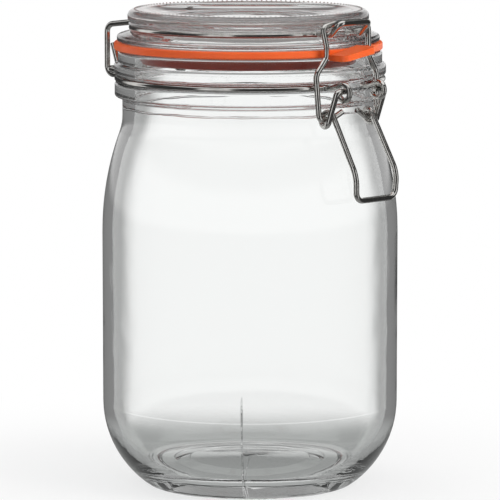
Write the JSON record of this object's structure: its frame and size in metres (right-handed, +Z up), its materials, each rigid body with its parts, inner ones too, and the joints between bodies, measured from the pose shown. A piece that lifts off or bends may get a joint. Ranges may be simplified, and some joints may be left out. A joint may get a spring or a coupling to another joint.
{
  "type": "preserving jar",
  "caption": "Clear glass preserving jar with a hinged glass lid, a rubber gasket and a wire clip that clamps the lid shut.",
  "frame": {"origin": "on the jar's axis, in the plane of the ring it stands on", "axes": "+Z up along the jar's axis, -Y towards the clip at the front, +Y towards the lid's hinge at the back, +X to the right seen from the front"},
  "size_m": [0.108, 0.1269, 0.174],
  "materials": {
    "glass": "clear, smooth",
    "gasket_rubber": "smooth orange rubber",
    "wire": "bright plated steel wire"
  },
  "bodies": {
    "jar_body": {"jar": "glass", "neck_wire": "wire"},
    "lid_body": {"lid": "glass", "gasket": "gasket_rubber", "lid_wire": "wire"},
    "lever": {"closing_lever": "wire"},
    "bail": {"closing_bail": "wire"}
  },
  "joints": [
    {"name": "lid_hinge", "type": "hinge", "parent": "jar_body", "child": "lid_body", "pos_m": [0, 0.0573, 0.1497], "axis": [-1, 0, 0], "range_deg": [0, 110]},
    {"name": "closing_lever", "type": "hinge", "parent": "jar_body", "child": "lever", "pos_m": [0, -0.0562, 0.1481], "axis": [-1, 0, 0], "range_deg": [0, 100]},
    {"name": "closing_bail", "type": "hinge", "parent": "lever", "child": "bail", "pos_m": [0, -0.0498, 0.1379], "axis": [-1, 0, 0], "range_deg": [-137, 0], "deforming": ["closing_bail"]}
  ],
  "couplings": [
    {"joint": "closing_bail", "follows": "closing_lever", "ratio": -1.37}
  ]
}
